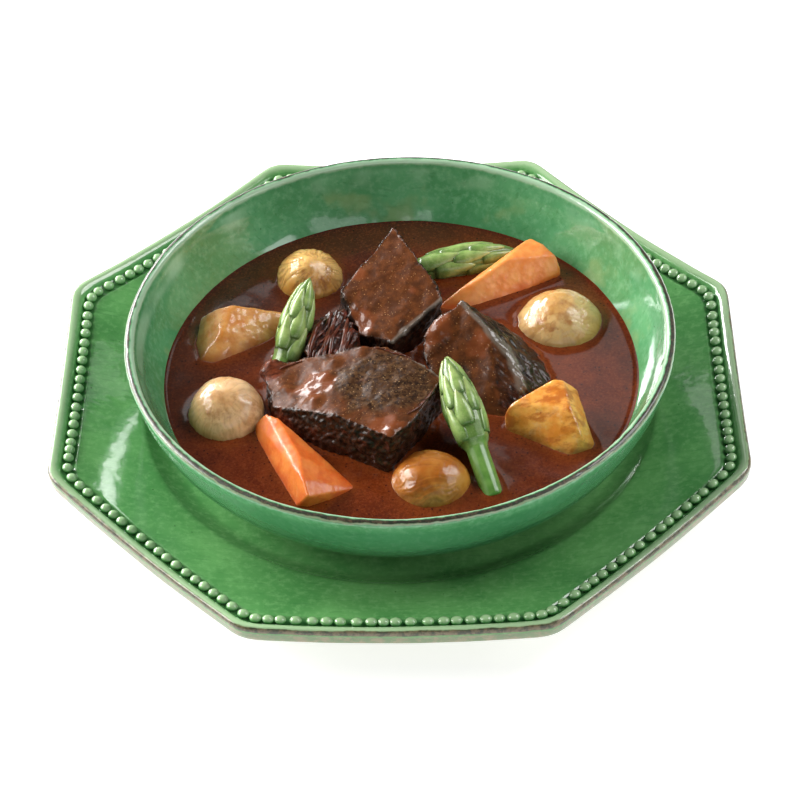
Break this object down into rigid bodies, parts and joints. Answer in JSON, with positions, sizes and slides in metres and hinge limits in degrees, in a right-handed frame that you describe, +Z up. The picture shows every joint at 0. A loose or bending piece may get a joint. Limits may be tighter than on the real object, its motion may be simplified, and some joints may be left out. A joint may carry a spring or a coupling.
{
  "type": "bowl of beef stew on a plate",
  "caption": "Round glazed bowl of beef stew with onions, potato, carrot and asparagus tips in brown sauce, on an octagonal beaded plate",
  "frame": {"origin": "centre of the plate's outline on the plane it stands on", "axes": "+Z up; the plate's front side faces -Y; +X to the right seen from the front"},
  "size_m": [0.2407, 0.2406, 0.048],
  "materials": {
    "green_glaze": "glossy green glaze, worn brown along the edges",
    "stew_sauce": "glossy brown sauce",
    "braised_beef": "dark braised meat, coated with sauce",
    "glazed_onion": "moist, pale to amber",
    "cooked_potato": "moist, golden to orange brown",
    "cooked_carrot": "moist orange",
    "green_asparagus": "moist green"
  },
  "bodies": {
    "root": {"plate": "green_glaze", "bowl": "green_glaze", "sauce": "stew_sauce", "beef_1": "braised_beef", "beef_2": "braised_beef", "beef_3": "braised_beef", "beef_4": "braised_beef", "onion_1": "glazed_onion", "onion_2": "glazed_onion", "onion_3": "glazed_onion", "onion_4": "glazed_onion", "potato_1": "cooked_potato", "potato_2": "cooked_potato", "carrot_1": "cooked_carrot", "carrot_2": "cooked_carrot", "asparagus_1": "green_asparagus", "asparagus_2": "green_asparagus", "asparagus_3": "green_asparagus"}
  },
  "joints": []
}
